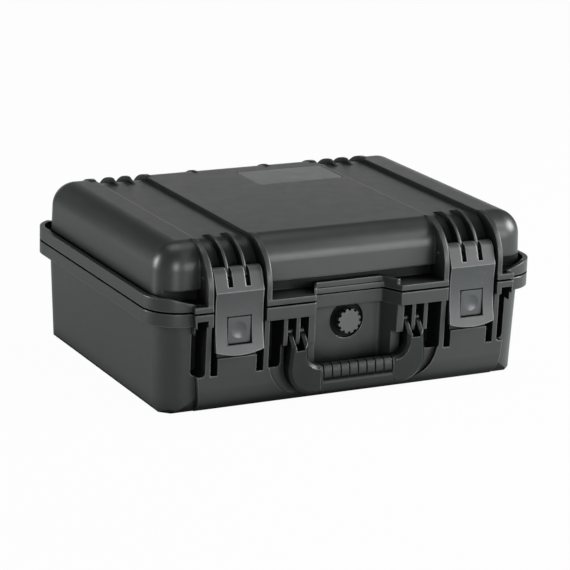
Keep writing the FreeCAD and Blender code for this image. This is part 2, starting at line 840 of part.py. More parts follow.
def handle_bow():
    """Bow of the handle with its two arms, bevelled round its front."""
    arm_in = handle_station - prong_gap / 2 - prong_width
    arm_out = handle_station + prong_gap / 2 + prong_width
    r = handle_outer_radius
    q = min(handle_inner_radius, fork_bottom + prong_radius - handle_grip_top - handle_edge - SAME)
    outer_cut = r * ARC_MIDDLE
    inner_cut = q * ARC_MIDDLE
    top = fork_bottom + prong_radius
    low = handle_bottom
    grip = handle_grip_top
    wide = handle_outer
    outline = [(-arm_out, top), (-wide, grip), (-wide, low + r),
               ((-wide + outer_cut, low + outer_cut), (-wide + r, low)), (wide - r, low),
               ((wide - outer_cut, low + outer_cut), (wide, low + r)), (wide, grip), (arm_out, top),
               (arm_in, top), (arm_in, grip + q),
               ((arm_in - inner_cut, grip + inner_cut), (arm_in - q, grip)), (-arm_in + q, grip),
               ((-arm_in + inner_cut, grip + inner_cut), (-arm_in, grip + q)), (-arm_in, top)]
    bow = along_y(outline, handle_face, handle_back)
    front = [e for e in bow.Edges if all(abs(v.Y - handle_face) < SAME for v in e.Vertexes)]
    return bow.makeChamfer(handle_edge, front)


def handle_prongs(side):
    """Two eyes of one forked end, leaning from the pin to the bow."""
    top = fork_bottom + prong_radius
    front = handle_face + handle_edge
    prongs = []
    for flank in (-1, 1):
        near = side * handle_station + flank * prong_gap / 2
        span = sorted((near, near + flank * prong_width))
        eye = pin_rod(span, handle_pin_y, handle_pin_height, prong_radius)
        lean = [(handle_pin_y - prong_radius, handle_pin_height), (front, top), (front, fork_bottom),
                (handle_back, fork_bottom), (handle_back, top),
                (handle_pin_y + prong_radius, handle_pin_height)]
        prongs.append(eye.fuse(along_x(lean, span[0], span[1])))
    return prongs


def handle_shape():
    """Whole handle: the bow, the prongs and the notch of each fork."""
    pieces = [handle_bow()]
    cutters = []
    for side in sides.values():
        pieces += handle_prongs(side)
        middle = side * handle_station
        cutters.append(box(middle - prong_gap / 2, middle + prong_gap / 2, -far, 0, fork_bottom, far))
        cutters.append(pin_rod(handle_pin_span(side), handle_pin_y, handle_pin_height,
                               handle_pin_radius + pin_clearance))
    return fuse(pieces).cut(cutters)


def grip_core(grow):
    """Bar inside the grip, grown by a clearance."""
    inset = grip_wall - grow
    return box(-far, far, handle_face + inset, handle_back - inset, handle_bottom + inset,
               handle_grip_top - inset)


def grip_stretch(half):
    """Room of the stretch of the handle that the grip covers."""
    return box(-half, half, -far, 0, 0, handle_grip_top + grip_wall)


def handle_frame():
    """Handle with the waist that carries the grip."""
    return handle_shape().cut(grip_stretch(grip_half).cut(grip_core(0)))


def handle_grip():
    """Ribbed sleeve over the waist of the handle."""
    half = grip_half - grip_clearance
    grip = handle_shape().common(grip_stretch(half)).cut(grip_core(grip_clearance))
    pitch = 2 * half / (grip_grooves + 1)
    plain = handle_bottom + grip_plain_rise
    grooves = []
    for index in range(grip_grooves):
        x0 = -half + (index + 1) * pitch - grip_groove_width / 2
        ring = box(x0, x0 + grip_groove_width, handle_face - grip_wall, handle_back, plain,
                   handle_grip_top + grip_wall)
        core = box(-far, far, handle_face + grip_groove_depth, far, 0, handle_grip_top - grip_groove_depth)
        grooves.append(ring.cut(core))
    return grip.cut(grooves)


def vent_disc(radius, y0, y1):
    """Round slice of the vent between two depths."""
    return rod(V(0, y0, vent_height), AXIS_Y, radius, y1 - y0)


def vent_body():
    """Flanged stem through the wall."""
    head = vent_disc(vent_body_radius, vent_body_face, vent_floor)
    stem = vent_disc(vent_stem_radius, vent_floor, vent_nut_seat() + vent_nut_thickness + vent_stem_reach)
    return fuse([head, stem])


def vent_cap():
    """Toothed cap: a disc with square notches in its rim."""
    cap = vent_disc(vent_cap_radius, vent_cap_front, vent_cap_back)
    rim = vent_height + vent_cap_radius
    notch = box(-vent_notch_width / 2, vent_notch_width / 2, vent_cap_front, vent_cap_back,
                rim - vent_notch_depth, rim + vent_notch_depth)
    notches = []
    for index in range(vent_teeth):
        turned = notch.copy()
        turned.rotate(V(0, 0, vent_height), AXIS_Y, 360 * index / vent_teeth)
        notches.append(turned)
    return cap.cut(notches)


def vent_nut_seat():
    """Depth of the nut's face, clear of the drafted inner wall at the height of the vent."""
    lean = (base_top - vent_height + vent_nut_radius) * math.tan(math.radians(base_draft))
    return -inner_y + lean + vent_nut_clearance


def vent_nut():
    """Hexagonal nut on the stem inside the case."""
    corners = []
    for index in range(6):
        turn = math.pi * index / 3
        corners.append((vent_nut_radius * math.cos(turn), vent_height + vent_nut_radius * math.sin(turn)))
    nut = along_y(corners, vent_nut_seat(), vent_nut_seat() + vent_nut_thickness)
    return nut.cut(vent_disc(vent_stem_radius + vent_clearance, -far, 0))


def export(name, shape):
    """Write one piece, and stop if it isn't sound."""
    if not shape.isValid():
        raise RuntimeError(name + " isn't a valid solid")
    shape.exportStep("parts/" + name + ".step")
    print(name, len(shape.Solids), round(shape.Volume / 1000, 2), "cm3")


os.makedirs("parts", exist_ok=True)
export("base_shell", base_shell())
export("lid_shell", lid_shell())
export("lid_gasket", lid_gasket())
export("name_plate", plate_block(seal_clearance))
for name, side in sides.items():
    export(name + "_latch_lever", latch_lever(side * latch_x))
    export(name + "_latch_button", latch_button(side * latch_x))
    export(name + "_catch_spring", catch_spring(side * latch_x))
    latch_pin = pin_rod(latch_pin_span(side), latch_pin_y, latch_pin_height, latch_pin_radius)
    hinge_pin = pin_rod(hinge_pin_span(side), hinge_y, parting_height, hinge_pin_radius)
    handle_pin = pin_rod(handle_pin_span(side), handle_pin_y, handle_pin_height, handle_pin_radius)
    export(name + "_latch_pin", latch_pin)
    export(name + "_hinge_pin", hinge_pin)
    export(name + "_handle_pin", handle_pin)
export("handle_frame", handle_frame())
export("handle_grip", handle_grip())
export("vent_body", vent_body())
export("vent_cap", vent_cap())
export("vent_nut", vent_nut())
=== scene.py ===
"""Studio picture of a closed protective hard case with two latches and a carry handle.

Units are metres: X to the right, the front towards -Y, Z up, and the origin under the middle of the case.
"""
import json
import logging
import math
from dataclasses import dataclass, replace
from enum import Enum
from typing import Any, Mapping, Sequence, Union

import bpy
import numpy as np
from mathutils import Matrix, Vector


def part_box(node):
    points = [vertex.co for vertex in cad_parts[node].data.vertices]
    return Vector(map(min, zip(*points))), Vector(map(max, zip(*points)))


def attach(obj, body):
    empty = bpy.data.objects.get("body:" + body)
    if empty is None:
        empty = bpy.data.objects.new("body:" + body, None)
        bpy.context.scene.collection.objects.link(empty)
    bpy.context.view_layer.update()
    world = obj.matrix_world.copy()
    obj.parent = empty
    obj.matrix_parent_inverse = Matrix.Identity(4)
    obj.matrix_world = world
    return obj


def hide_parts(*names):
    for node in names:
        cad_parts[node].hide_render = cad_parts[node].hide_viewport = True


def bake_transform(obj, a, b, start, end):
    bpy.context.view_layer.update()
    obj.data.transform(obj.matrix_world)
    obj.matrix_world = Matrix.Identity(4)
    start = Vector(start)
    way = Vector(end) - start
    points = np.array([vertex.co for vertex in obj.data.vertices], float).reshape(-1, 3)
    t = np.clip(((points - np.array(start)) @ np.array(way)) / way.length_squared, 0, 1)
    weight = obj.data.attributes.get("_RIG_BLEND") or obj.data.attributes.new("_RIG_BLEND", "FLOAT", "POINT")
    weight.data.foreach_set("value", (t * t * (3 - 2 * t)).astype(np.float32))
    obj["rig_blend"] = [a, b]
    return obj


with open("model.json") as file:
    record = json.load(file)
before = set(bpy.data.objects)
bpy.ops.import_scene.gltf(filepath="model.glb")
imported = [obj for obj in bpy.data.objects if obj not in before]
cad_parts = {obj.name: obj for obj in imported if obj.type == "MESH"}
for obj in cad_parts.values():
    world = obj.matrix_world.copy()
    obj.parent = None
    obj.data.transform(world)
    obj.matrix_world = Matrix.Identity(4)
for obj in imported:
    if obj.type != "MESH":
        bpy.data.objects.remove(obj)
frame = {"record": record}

LOG = logging.getLogger("hard_case")
GROOVE_MARK = "groove_depth"
FULL_TURN = 2.0 * math.pi
QUARTER_TURN = math.pi / 2.0
SHORTEST = 1e-9

Colour = tuple[float, float, float]
Point = tuple[float, float, float]
Span = tuple[float, float]
Value = Union["Signal", float]
Socket = bpy.types.NodeSocket
Settings = Mapping[str, Any]
Sockets = Mapping[Union[int, str], Any]


class Body(str, Enum):
    """Moving bodies that pieces ride on."""

    BASE = "base"
    LID = "lid"
    HANDLE = "handle"
    LEFT_LATCH = "left_latch"
    RIGHT_LATCH = "right_latch"
    LEFT_BUTTON = "left_button"
    RIGHT_BUTTON = "right_button"


class Slot(str, Enum):
    """Material slots of the case."""

    SHELL = "shell_plastic"
    LATCH = "latch_plastic"
    HANDLE = "handle_plastic"
    GRIP = "grip_rubber"
    SEAL = "seal_rubber"
    VENT = "vent_plastic"
    PIN = "pin_steel"
    SPRING = "spring_steel"
    PLATE = "bare_plate"


class Side(str, Enum):
    """Left and right halves of the case, in the words the nodes use."""

    LEFT = "left"
    RIGHT = "right"


class Signal:
    """A shader socket that takes part in arithmetic by adding Math nodes."""

    def __init__(self, graph: "Graph", socket: Socket) -> None:
        """Wrap an output socket of a graph."""
        self.graph = graph
        self.socket = socket

    def _math(self, operation: str, first: Value, second: Value = 0.0) -> "Signal":
        """Add one Math node and wrap its result."""
        node = self.graph.node("ShaderNodeMath", {"operation": operation}, {0: first, 1: second})
        return Signal(self.graph, node.outputs[0])

    def __add__(self, other: Value) -> "Signal":
        """Add a value."""
        return self._math("ADD", self, other)

    def __radd__(self, other: Value) -> "Signal":
        """Add this to a value."""
        return self._math("ADD", other, self)

    def __sub__(self, other: Value) -> "Signal":
        """Take a value away."""
        return self._math("SUBTRACT", self, other)

    def __rsub__(self, other: Value) -> "Signal":
        """Take this from a value."""
        return self._math("SUBTRACT", other, self)

    def __mul__(self, other: Value) -> "Signal":
        """Multiply by a value."""
        return self._math("MULTIPLY", self, other)

    def __rmul__(self, other: Value) -> "Signal":
        """Multiply a value by this."""
        return self._math("MULTIPLY", other, self)

    def __abs__(self) -> "Signal":
        """Drop the sign."""
        return self._math("ABSOLUTE", self)

    def at_most(self, limit: Value) -> "Signal":
        """Hold the value under a limit."""
        return self._math("MINIMUM", self, limit)

    def at_least(self, limit: Value) -> "Signal":
        """Hold the value over a limit."""
        return self._math("MAXIMUM", self, limit)

    def clamped(self) -> "Signal":
        """Hold the value between nought and one."""
        return self.at_least(0.0).at_most(1.0)

    def ramp(self, low: float, high: float) -> "Signal":
        """Ease from nought to one between two values.

        Args:
            low: Value that gives nought.
            high: Value that gives one.

        Returns:
            The eased value.
        """
        sockets = {"Value": self, "From Min": low, "From Max": high}
        node = self.graph.node("ShaderNodeMapRange", {"interpolation_type": "SMOOTHSTEP"}, sockets)
        return Signal(self.graph, node.outputs[0])


@dataclass(frozen=True)
class Noise:
    """One kind of fractal noise.

    Attributes:
        scale: Features per metre.
        detail: Number of octaves.
        rough: Strength of each further octave.
    """

    scale: float
    detail: float
    rough: float = 0.5


class Graph:
    """Node tree of one material or world."""

    def __init__(self, tree: bpy.types.NodeTree) -> None:
        """Start with an empty tree."""
        tree.nodes.clear()
        self.tree = tree

    def node(self, kind: str, settings: Settings, sockets: Sockets) -> bpy.types.Node:
        """Add a node, set it up and feed its sockets.

        Args:
            kind: Type name of the node.
            settings: Properties set before the sockets.
            sockets: Input sockets by name or place, each a constant, a socket or a Signal.

        Returns:
            The new node.
        """
        node = self.tree.nodes.new(kind)
        for name, value in settings.items():
            setattr(node, name, value)
        for key, value in sockets.items():
            source = value.socket if isinstance(value, Signal) else value
            if isinstance(source, Socket):
                self.tree.links.new(source, node.inputs[key])
            else:
                node.inputs[key].default_value = source
        return node

    def place(self) -> Socket:
        """Give the Object coordinates."""
        return self.node("ShaderNodeTexCoord", {}, {}).outputs["Object"]

    def parts(self, vector: Any) -> tuple[Signal, ...]:
        """Split a vector into its X, Y and Z."""
        split = self.node("ShaderNodeSeparateXYZ", {}, {0: vector})
        return tuple(Signal(self, socket) for socket in split.outputs)

    def mix(self, factor: Value, first: Any, second: Any) -> Socket:
        """Blend two colours, by the share of the second."""
        node = self.node("ShaderNodeMix", {"data_type": "RGBA"}, {0: factor, 6: first, 7: second})
        return node.outputs[2]

    def vector(self, operation: str, first: Any, second: Any = (0.0, 0.0, 0.0)) -> bpy.types.Node:
        """Add one Vector Math node; the second vector is for an operation that takes two."""
        return self.node("ShaderNodeVectorMath", {"operation": operation}, {0: first, 1: second})

    def noise(self, place: Any, kind: Noise) -> Signal:
        """Sample fractal noise, between nought and one, at a vector."""
        sockets = {"Vector": place, "Scale": kind.scale, "Detail": kind.detail, "Roughness": kind.rough}
        return Signal(self, self.node("ShaderNodeTexNoise", {}, sockets).outputs["Fac"])

    def blend(self, factor: Value, first: bpy.types.Node, second: bpy.types.Node) -> Socket:
        """Blend two shaders' nodes, by the share of the second."""
        sockets = {0: factor, 1: first.outputs[0], 2: second.outputs[0]}
        return self.node("ShaderNodeMixShader", {}, sockets).outputs[0]

    def surface(self, shader: Socket, target: str = "ShaderNodeOutputMaterial") -> None:
        """Join a shader to an output node of the given type."""
        self.node(target, {}, {"Surface": shader})


def rgba(colour: Colour) -> tuple[float, float, float, float]:
    """Give a linear colour an alpha of one."""
    return (*colour, 1.0)


def blank_material(name: str) -> tuple[bpy.types.Material, Graph]:
    """Make a material with an empty tree.

    Args:
        name: Name of the material.

    Returns:
        The material and its graph.
    """
    made = bpy.data.materials.new(name)
    made.use_nodes = True
    return made, Graph(made.node_tree)


def linked(name: str, data: bpy.types.ID) -> bpy.types.Object:
    """Put an object with the given data into the scene.

    Args:
        name: Name of the object.
        data: Mesh, light or camera.

    Returns:
        The new object.
    """
    thing = bpy.data.objects.new(name, data)
    bpy.context.scene.collection.objects.link(thing)
    return thing


@dataclass(frozen=True)
class VentRecessShade:
    """Painted shade over the floor and wall of the round recess that the vent stands in, which the open sky
    hardly reaches.

    Attributes:
        reach: Radius of the recess, with a little over for its wall.
        sink: Depth behind the front of the vent's body at which the recess begins.
        depth: Depth of the recess.
        blur: Length over which the ring's edge fades.
    """

    reach: float = 0.0183
    sink: float = 0.0016
    depth: float = 0.0031
    blur: float = 0.0002

    def share(self, graph: Graph, place: Socket) -> Signal:
        """Mark the recess's painted shade: near the vent's axis and between its mouth and its floor.

        Args:
            graph: Graph to add nodes to.
            place: Object coordinates.

        Returns:
            One where the recess is painted in shade and nought elsewhere.
        """
        low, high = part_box("vent_body")
        middle = ((low.x + high.x) / 2.0, 0.0, (low.z + high.z) / 2.0)
        offset = graph.vector("SUBTRACT", place, middle).outputs[0]
        across = graph.vector("MULTIPLY", offset, (1.0, 0.0, 1.0)).outputs[0]
        radius = Signal(graph, graph.vector("LENGTH", across).outputs["Value"])
        _, behind, _ = graph.parts(place)
        mouth = low.y + self.sink
        floor = mouth + self.depth
        near = 1.0 - radius.ramp(self.reach, self.reach + self.blur)
        within = behind.ramp(mouth, mouth + self.blur) * (1.0 - behind.ramp(floor, floor + self.blur))
        return near * within


@dataclass(frozen=True)
class ButtonGapShade:
    """Painted shade along the edge of the window that a latch's button stands in, where the gap round the
    button lies in shade.

    Attributes:
        lip: How far the button's hidden lip reaches past the window's edge.
        full: Distance past the window's edge up to which the shade is whole.
        end: Distance past the window's edge at which the shade ends.
    """

    lip: float = 0.0014
    full: float = 0.0002
    end: float = 0.0009

    def share(self, graph: Graph, place: Socket) -> Signal:
        """Mark the painted shade at the window's edge on both latches, by the distance from a rectangle in X
        and Z.

        Args:
            graph: Graph to add nodes to.
            place: Object coordinates.

        Returns:
            One where the edge is painted in shade and nought away from it.
        """
        low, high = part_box("right_latch_button")
        across, _, along = graph.parts(place)
        past_x = abs(abs(across) - (low.x + high.x) / 2.0) - (high.x - low.x) / 2.0
        past_z = abs(along - (low.z + high.z) / 2.0) - (high.z - low.z) / 2.0
        past = past_x.at_least(past_z) + self.lip
        return 1.0 - past.ramp(self.full, self.end)


@dataclass(frozen=True)
class Weathering:
    """How moulded plastic varies and wears, with painted highlight on its edges and painted shade in its
    corners, alike on every piece.

    Attributes:
        drift: Slow change of tone.
        cloud: Blotches.
        scuff: Noise of the scuffs, on stretched coordinates.
        scuff_stretch: Scuffs per metre along X, Y and Z.
        scuff_from: Noise at which a scuff begins and is whole.
        scuff_share: How much of the edge colour a scuff takes on.
        bare_from: Openness at which the pale edges begin and are whole.
        least_worn: Share of the pale edges where the blotches are darkest.
        cloud_worn: How much the blotches add to that share.
        painted_shade_from: Openness at which the painted shade is darkest and is clear.
        groove_from: Groove mark at which a groove begins to darken and is dark.
        top_fade: Height over which the pale edges fade towards a plain top.
        top_share: How much of the pale edges is gone there.
        cloud_tone: Strength of the blotches' tone beside the drift's.
        speck_tone: Share by which the grain changes the tone.
        least_shade: Darkest shade of the base colour.
        cloud_rough: How much the blotches change the roughness.
        speck_rough: How much the grain changes it.
        worn_rough: How much smoother a rubbed edge is.
        cloud_bump: Strength of the blotches' bump beside the grain's.
        bump: Strength of the bump.
        dark: Linear colour of the painted shade in the darkest corners.
        edge_samples: Rays that find an edge.
        sky_samples: Rays that find the corners and recesses for the painted shade and the pale edges.
    """

    drift: Noise = Noise(11.0, 3.0)
    cloud: Noise = Noise(60.0, 4.0, 0.6)
    scuff: Noise = Noise(1.0, 3.0, 0.7)
    scuff_stretch: Point = (90.0, 700.0, 260.0)
    scuff_from: Span = (0.62, 0.8)
    scuff_share: float = 0.12
    bare_from: Span = (0.5, 0.85)
    least_worn: float = 0.5
    cloud_worn: float = 0.8
    painted_shade_from: Span = (0.24, 0.82)
    # groove_from: Groove mark at which a groove's painted shade begins and is whole.
    groove_from: Span = (0.2, 0.65)
    top_fade: float = 0.006
    top_share: float = 0.85
    cloud_tone: float = 0.5
    speck_tone: float = 0.35
    least_shade: float = 0.2
    cloud_rough: float = 0.12
    speck_rough: float = 0.14
    worn_rough: float = 0.08
    cloud_bump: float = 0.35
    bump: float = 0.55
    dark: Colour = (0.003, 0.003, 0.003)
    edge_samples: int = 6
    sky_samples: int = 8


WEAR = Weathering()
NOISE_MIDDLE = 0.5
GRAIN = Noise(1500.0, 2.0, 0.55)
FINE_GRAIN = Noise(1800.0, 2.0, 0.55)


@dataclass(frozen=True)
class MouldedPlastic:
    """Injection-moulded plastic with a spark-eroded grain, pale on its edges, partly rubbed wear and partly
    painted highlight, and with painted shade in its corners and recesses.

    Attributes:
        colour: Linear base colour.
        edge: Linear colour of the pale edges, partly rubbed wear and partly painted highlight.
        roughness: Mean roughness.
        grain: Noise of the grain.
        grain_depth: Depth of the grain in metres.
        edge_radius: Radius that sharp edges are shaded with, in metres.
        edge_share: How much of the edge colour a square edge takes on.
        edge_start: Loss of facing, from nought to one, at which the edge colour begins.
        edge_full: Loss of facing at which it is complete.
        tone: Share by which the base colour drifts across the piece.
        specular: Specular level.
        crevice: Reach in metres over which corners and recesses take painted shade and lose their pale
            edges.
        painted_shade_share: How dark the painted shade turns a closed corner.
        shaded: Place that is painted in shade whole, if there is one.
        pale_edge_top: Height at which the pale edges, rubbed wear and painted highlight, start to fade, if
            they do.
        groove_mark: Name of the attribute that marks cut grooves, which are painted in shade, if there is
            one.
    """

    colour: Colour
    edge: Colour
    roughness: float
    grain: Noise = GRAIN
    grain_depth: float = 0.00006
    edge_radius: float = 0.002
    edge_share: float = 0.75
    edge_start: float = 0.01
    edge_full: float = 0.16
    tone: float = 0.22
    specular: float = 0.5
    crevice: float = 0.03
    painted_shade_share: float = 0.86
    shaded: Union[VentRecessShade, ButtonGapShade, None] = None
    pale_edge_top: Union[float, None] = None
    groove_mark: str = ""

    def material(self, name: str) -> bpy.types.Material:
        """Make the material.

        Args:
            name: Name of the material.

        Returns:
            The finished material.
        """
        made, graph = blank_material(name)
        place = graph.place()
        cloud = graph.noise(place, WEAR.cloud)
        speck = graph.noise(place, self.grain)
        edges = {"samples": WEAR.edge_samples}
        rounded = graph.node("ShaderNodeBevel", edges, {"Radius": self.edge_radius}).outputs[0]
        rays = {"samples": WEAR.sky_samples}
        sky = graph.node("ShaderNodeAmbientOcclusion", rays, {"Distance": self.crevice})
        openness = Signal(graph, sky.outputs["AO"])
        wear_and_highlight = self.wear_and_highlight(graph, place, rounded, openness, cloud)
        uneven = (cloud - NOISE_MIDDLE) * WEAR.cloud_rough + (speck - NOISE_MIDDLE) * WEAR.speck_rough
        height = speck + cloud * WEAR.cloud_bump
        relief = {"Strength": WEAR.bump, "Distance": self.grain_depth, "Height": height, "Normal": rounded}
        sockets = {
            "Base Color": self.tinted(graph, place, wear_and_highlight, cloud, speck),
            "Roughness": (self.roughness + uneven - wear_and_highlight * WEAR.worn_rough).clamped(),
            "Normal": graph.node("ShaderNodeBump", {}, relief).outputs[0],
            "Specular IOR Level": self.specular,
        }
        plastic = graph.node("ShaderNodeBsdfPrincipled", {}, sockets)
        # A dark diffuse shader, blended in by the painted-shade share, darkens corners and recesses: painted
        # shade.
        dark = graph.node("ShaderNodeBsdfDiffuse", {}, {"Color": rgba(WEAR.dark)})
        share = self.painted_shade(graph, place, openness) * self.painted_shade_share
        graph.surface(graph.blend(share, plastic, dark))
        return made

    def wear_and_highlight(
        self,
        graph: Graph,
        place: Socket,
        rounded: Socket,
        openness: Signal,
        cloud: Signal,
    ) -> Signal:
        """Find the pale edges, partly rubbed wear and partly painted highlight: where the rounded normal
        leaves the flat one and the surface stands free.

        Args:
            graph: Graph to add nodes to.
            place: Object coordinates.
            rounded: Normal with its edges rounded.
            openness: Share of open sky.
            cloud: Blotches that break the pale edges up.

        Returns:
            One on a pale edge and nought away from it.
        """
        flat = graph.node("ShaderNodeNewGeometry", {}, {}).outputs["Normal"]
        turned = Signal(graph, graph.vector("DOT_PRODUCT", rounded, flat).outputs["Value"])
        patchy = (WEAR.least_worn + WEAR.cloud_worn * cloud).clamped()
        free = openness.ramp(*WEAR.bare_from)
        wear_and_highlight = (1.0 - turned).ramp(self.edge_start, self.edge_full) * free * patchy
        if self.pale_edge_top is None:
            return wear_and_highlight
        _, _, height = graph.parts(place)
        top = height.ramp(self.pale_edge_top, self.pale_edge_top + WEAR.top_fade)
        return wear_and_highlight * (1.0 - WEAR.top_share * top)

    def tinted(
        self, graph: Graph, place: Socket, wear_and_highlight: Signal, cloud: Signal, speck: Signal
    ) -> Socket:
        """Colour the surface: a drifting base colour under faint scuffs and pale edges, which are partly
        rubbed wear and partly painted highlight.

        Args:
            graph: Graph to add nodes to.
            place: Object coordinates.
            wear_and_highlight: Pale edges, partly rubbed wear and partly painted highlight.
            cloud: Blotches.
            speck: Grain.

        Returns:
            The colour.
        """
        drift = graph.noise(place, WEAR.drift)
        stretched = graph.vector("MULTIPLY", place, WEAR.scuff_stretch).outputs[0]
        scuff = graph.noise(stretched, WEAR.scuff).ramp(*WEAR.scuff_from)
        slow = (drift - NOISE_MIDDLE) * self.tone + (cloud - NOISE_MIDDLE) * WEAR.cloud_tone * self.tone
        shade = (slow + (speck - NOISE_MIDDLE) * WEAR.speck_tone + 1.0).at_least(WEAR.least_shade)
        base = {"Value": shade, "Color": rgba(self.colour)}
        plain = graph.node("ShaderNodeHueSaturation", {}, base).outputs[0]
        scuffed = graph.mix(scuff * WEAR.scuff_share, plain, rgba(self.edge))
        return graph.mix(wear_and_highlight * self.edge_share, scuffed, rgba(self.edge))

    def painted_shade(self, graph: Graph, place: Socket, openness: Signal) -> Signal:
        """Find where shade is painted: closed corners, the shaded place and the marked grooves.

        Args:
            graph: Graph to add nodes to.
            place: Object coordinates.
            openness: Share of open sky.

        Returns:
            One where shade is painted and nought in the open.
        """
        painted_shade = 1.0 - openness.ramp(*WEAR.painted_shade_from)
        if self.shaded is not None:
            painted_shade = painted_shade.at_least(self.shaded.share(graph, place))
        # The cut grooves and the foot line of the grip are painted in shade.
        if self.groove_mark:
            mark = graph.node("ShaderNodeAttribute", {"attribute_name": self.groove_mark}, {})
            painted_shade = painted_shade.at_least(Signal(graph, mark.outputs["Fac"]).ramp(*WEAR.groove_from))
        return painted_shade


@dataclass(frozen=True)
class FineFinish:
    """Rubber or steel with a fine relief and faint patches of a second colour.

    Attributes:
        colour: Linear base colour.
        patch_colour: Linear colour of the patches, which are dust or stains.
        roughness: Mean roughness.
        fine: Noise of the fine relief.
        patch: Noise of the patches.
        patch_from: Noise at which a patch begins and is whole.
        patch_share: How much of the patches' colour shows.
        fine_rough: How much the relief changes the roughness.
        bump: Strength of the relief's bump.
        depth: Depth of the relief in metres.
        stretch: Stretch of the relief's coordinates along X, Y and Z.
        patch_rough: How much the patches change the roughness.
        metallic: One for metal and nought for rubber.
        specular: Specular level.
    """

    colour: Colour
    patch_colour: Colour
    roughness: float
    fine: Noise
    patch: Noise
    patch_from: Span
    patch_share: float
    fine_rough: float
    bump: float
    depth: float
    stretch: Point = (1.0, 1.0, 1.0)
    patch_rough: float = 0.1
    metallic: float = 0.0
    specular: float = 0.5

    def material(self, name: str) -> bpy.types.Material:
        """Make the material.

        Args:
            name: Name of the material.

        Returns:
            The finished material.
        """
        made, graph = blank_material(name)
        place = graph.place()
        fine = graph.noise(graph.vector("MULTIPLY", place, self.stretch).outputs[0], self.fine)
        patch = graph.noise(place, self.patch)
        patched = patch.ramp(*self.patch_from) * self.patch_share
        uneven = (fine - NOISE_MIDDLE) * self.fine_rough + (patch - NOISE_MIDDLE) * self.patch_rough
        relief = {"Strength": self.bump, "Distance": self.depth, "Height": fine}
        sockets = {
            "Base Color": graph.mix(patched, rgba(self.colour), rgba(self.patch_colour)),
            "Roughness": (self.roughness + uneven).clamped(),
            "Metallic": self.metallic,
            "Normal": graph.node("ShaderNodeBump", {}, relief).outputs[0],
            "Specular IOR Level": self.specular,
        }
        graph.surface(graph.node("ShaderNodeBsdfPrincipled", {}, sockets).outputs[0])
        return made


RUBBER = FineFinish(
    colour=(0.018, 0.018, 0.019),
    patch_colour=(0.06, 0.06, 0.06),
    roughness=0.7,
    fine=Noise(1100.0, 3.0, 0.6),
    patch=Noise(45.0, 4.0),
    patch_from=(0.45, 0.8),
    patch_share=0.4,
    fine_rough=0.15,
    bump=0.5,
    depth=0.00008,
    specular=0.35,
)

DRAWN_STEEL = FineFinish(
    colour=(0.6, 0.6, 0.59),
    patch_colour=(0.24, 0.23, 0.22),
    roughness=0.3,
    fine=Noise(1.0, 3.0, 0.6),
    patch=Noise(160.0, 3.0),
    patch_from=(0.55, 0.8),
    patch_share=0.35,
    fine_rough=0.2,
    bump=0.3,
    depth=0.00003,
    stretch=(60.0, 2600.0, 2600.0),
    metallic=1.0,
)

FINISHES: Mapping[Slot, Union[MouldedPlastic, FineFinish]] = {
    Slot.SHELL: MouldedPlastic(
        colour=(0.022, 0.0235, 0.0233),
        edge=(0.15, 0.154, 0.158),
        roughness=0.37,
        # The shell is painted in shade inside the vent's recess.
        shaded=VentRecessShade(),
        # The pale edges, partly painted highlight, fade above this height on the lid's top.
        pale_edge_top=0.150,
    ),
    Slot.LATCH: MouldedPlastic(
        colour=(0.037, 0.0398, 0.0402),
        edge=(0.34, 0.35, 0.355),
        roughness=0.42,
        grain=FINE_GRAIN,
        edge_radius=0.0016,
        # The latch's pale edges begin at a slight bend, so the crease across the lever takes a painted
        # highlight.
        edge_start=0.002,
        edge_full=0.05,
        # The latch is painted in shade round its button's window.
        shaded=ButtonGapShade(),
    ),
    Slot.HANDLE: MouldedPlastic(
        colour=(0.006, 0.0078, 0.0076),
        edge=(0.14, 0.145, 0.15),
        roughness=0.34,
        edge_radius=0.0015,
        edge_share=0.5,
        specular=0.38,
    ),
    Slot.GRIP: MouldedPlastic(
        colour=(0.006, 0.0078, 0.0076),
        edge=(0.1, 0.105, 0.11),
        roughness=0.46,
        edge_radius=0.0004,
        edge_share=0.3,
        specular=0.38,
        # The grooves are painted in shade.
        groove_mark=GROOVE_MARK,
    ),
    Slot.SEAL: RUBBER,
    Slot.VENT: MouldedPlastic(
        colour=(0.066, 0.069, 0.069), edge=(0.3, 0.305, 0.31), roughness=0.45, edge_radius=0.0006
    ),
    Slot.PIN: DRAWN_STEEL,
    Slot.SPRING: replace(DRAWN_STEEL, colour=(0.5, 0.5, 0.5), roughness=0.34),
    Slot.PLATE: MouldedPlastic(
        colour=(0.045, 0.049, 0.048), edge=(0.12, 0.12, 0.12), roughness=0.3, tone=0.1, edge_radius=0.0004
    ),
}

# The button's edges take a near-black colour at full share: painted shade of the gap round each button.
BUTTON_FINISH = MouldedPlastic(
    colour=(0.05, 0.054, 0.057),
    edge=(0.004, 0.004, 0.004),
    roughness=0.3,
    grain=FINE_GRAIN,
    edge_radius=0.0012,
    edge_share=1.0,
    edge_full=0.06,
)


class Wardrobe:
    """Materials of the case, made once for each slot, with the push buttons' own finish, whose near-black
    rim is painted shade.
    """

    def __init__(self) -> None:
        """Make every finish's material."""
        self.materials = {slot: kind.material(f"finish_{slot.value}") for slot, kind in FINISHES.items()}
        self.button = BUTTON_FINISH.material("finish_button")

    def dress(self, thing: bpy.types.Object, slot: Slot) -> None:
        """Put a slot's material on an object."""
        thing.data.materials.clear()
        thing.data.materials.append(self.materials[slot])

    def dress_nodes(self) -> None:
        """Put each node's finish on the material slots that its object already has."""
        for part in frame["record"]["subparts"]:
            name = part["node"]
            slot = Slot(part["material_slot"])
            # The buttons take the finish whose near-black rim is painted shade.
            finish = self.button if name.endswith("latch_button") else self.materials[slot]
            for place in bpy.data.objects[name].material_slots:
                place.material = finish
            LOG.info("node %s takes %s", name, finish.name)


